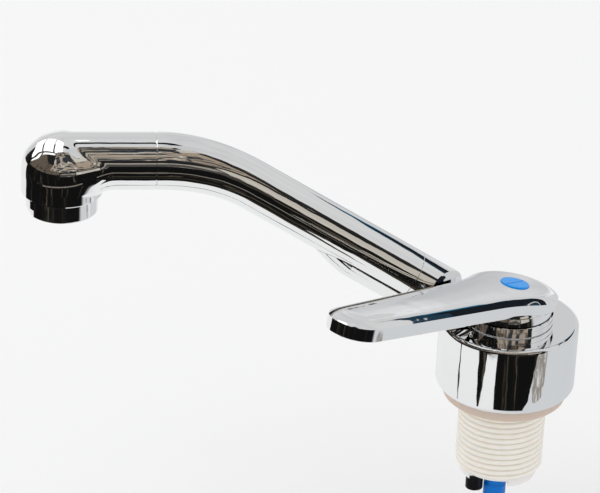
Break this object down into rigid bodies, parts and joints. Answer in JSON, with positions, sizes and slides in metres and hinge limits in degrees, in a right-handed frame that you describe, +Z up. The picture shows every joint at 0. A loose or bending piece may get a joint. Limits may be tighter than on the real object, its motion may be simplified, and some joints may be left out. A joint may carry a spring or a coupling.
{
  "type": "water tap",
  "caption": "Deck-mounted single-lever tap with a threaded shank, a swivelling bent spout, a domed aerator outlet and a lift lever with a blue index.",
  "frame": {"origin": "centre of the flange underside, on the deck, on the shank's axis", "axes": "+Z up along the shank and body, the spout points along -Y at rest, the lever 41.5 degrees from it towards +X"},
  "size_m": [0.0945, 0.2095, 0.1751],
  "materials": {
    "chrome": "mirror-bright chrome plating",
    "chrome_dark": "bright chrome plating on the aerator",
    "ivory_plastic": "moulded, satin",
    "white_plastic": "moulded, satin",
    "blue_plastic": "glossy moulded",
    "index_blue": "glossy moulded",
    "black_plastic": "moulded, satin",
    "brass": "machined",
    "steel": "stainless",
    "ceramic": "lapped ceramic",
    "seal_rubber": "moulded rubber"
  },
  "bodies": {
    "base": {"base_shank": "ivory_plastic", "body_shell": "chrome", "stop_pin": "steel", "glide_washer": "white_plastic", "valve_column": "brass", "column_seals": "seal_rubber", "column_screws": "steel", "retaining_ring": "steel", "cartridge_base": "white_plastic", "cartridge_seal": "seal_rubber", "cartridge_housing": "white_plastic", "cartridge_nut": "brass", "stem_guide": "white_plastic", "pivot_pin": "steel", "dome_ring": "chrome", "fixed_disc": "ceramic", "switch_case": "black_plastic", "switch_screws": "steel", "switch_terminals": "brass", "shank_insert": "white_plastic", "inlet_tail": "blue_plastic", "inlet_seal": "seal_rubber", "cable_sleeve": "black_plastic"},
    "lever": {"lever_handle": "chrome", "valve_stem": "steel", "lever_screw": "steel", "index_cap": "index_blue"},
    "disc_slide": {"moving_disc": "ceramic", "disc_carrier": "white_plastic"},
    "switch_pin": {"switch_follower": "steel"},
    "spout": {"spout_neck": "chrome", "spout_tube": "chrome", "tube_seal_lower": "seal_rubber", "tube_seal_upper": "seal_rubber", "outlet_head": "chrome", "aerator_collar": "chrome_dark", "aerator_core": "white_plastic", "aerator_screen": "steel", "aerator_washer": "seal_rubber"}
  },
  "joints": [
    {"name": "spout_swivel", "type": "hinge", "parent": "base", "child": "spout", "pos_m": [0, 0, 0.034], "axis": [0, 0, 1], "range_deg": [-150, 0]},
    {"name": "lever_lift", "type": "hinge", "parent": "base", "child": "lever", "pos_m": [0, 0, 0.033], "axis": [-0.749, -0.6626, 0], "range_deg": [-12.5, 0]},
    {"name": "disc_travel", "type": "slide", "parent": "base", "child": "disc_slide", "axis": [0.6626, -0.749, 0], "range_m": [-0.00193, 0.00002]},
    {"name": "switch_travel", "type": "slide", "parent": "base", "child": "switch_pin", "axis": [0.6626, -0.749, 0], "range_m": [-0.00193, 0.00002]}
  ],
  "couplings": [
    {"joint": "disc_travel", "follows": "lever_lift", "m_per_rad": 0.0087304},
    {"joint": "switch_travel", "follows": "lever_lift", "m_per_rad": 0.0087304}
  ]
}
